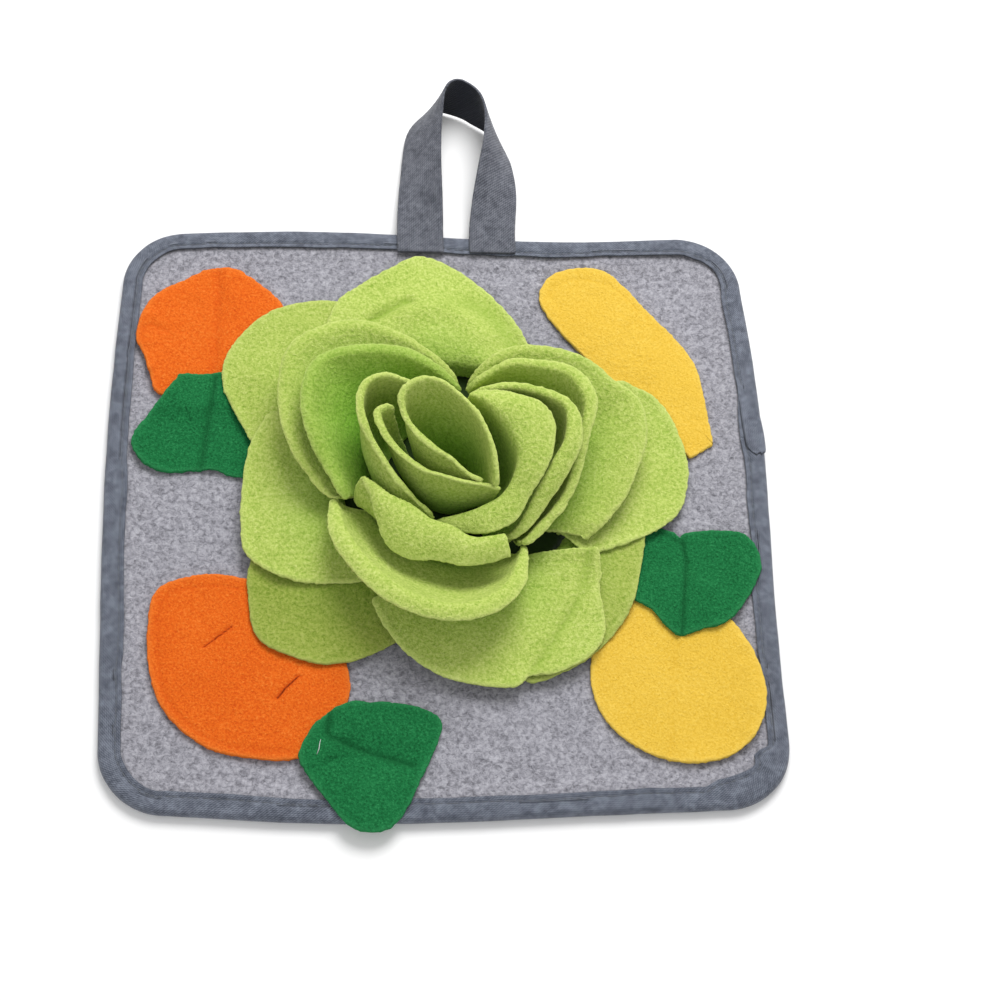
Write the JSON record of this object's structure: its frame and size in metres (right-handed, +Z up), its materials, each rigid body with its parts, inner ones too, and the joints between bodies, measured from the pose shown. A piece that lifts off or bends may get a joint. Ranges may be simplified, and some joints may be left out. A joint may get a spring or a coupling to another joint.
{
  "type": "snuffle mat",
  "caption": "Square felt snuffle mat with a bound edge, a hang loop, fleece fruit and leaves, and a large fleece flower whose petals hide treats.",
  "frame": {"origin": "middle of the mat's underside, on the surface it rests on", "axes": "+Z up out of the mat's face; +Y towards the hang loop; +X to the right with the loop at the far side"},
  "size_m": [0.3035, 0.3894, 0.0554],
  "materials": {
    "felt_grey": "marled needle felt",
    "binding_grey": "woven tape, matte",
    "webbing_grey": "woven webbing, matte",
    "fleece_lime": "brushed fleece",
    "fleece_orange": "brushed fleece",
    "fleece_yellow": "brushed fleece",
    "fleece_green": "brushed fleece"
  },
  "bodies": {
    "root": {"base_felt": "felt_grey", "edge_binding": "binding_grey", "hang_loop": "webbing_grey", "radish_top_left": "fleece_orange", "carrot_bottom_left": "fleece_orange", "banana_top_right": "fleece_yellow", "pear_bottom_right": "fleece_yellow", "leaf_left": "fleece_green", "leaf_bottom": "fleece_green", "leaf_right": "fleece_green", "petal_outer_back_left": "fleece_lime", "petal_outer_front_left": "fleece_lime", "petal_outer_front_right": "fleece_lime", "petal_outer_back": "fleece_lime", "petal_outer_left": "fleece_lime", "petal_outer_front": "fleece_lime", "petal_outer_right": "fleece_lime", "petal_middle_right": "fleece_lime", "petal_middle_front": "fleece_lime", "petal_middle_left": "fleece_lime", "petal_middle_left_inner": "fleece_lime", "petal_inner_front": "fleece_lime", "petal_inner_right_low": "fleece_lime", "petal_inner_right_middle": "fleece_lime", "petal_inner_right_high": "fleece_lime", "petal_heart_outer": "fleece_lime", "petal_heart_middle": "fleece_lime", "petal_heart_inner": "fleece_lime"}
  },
  "joints": []
}
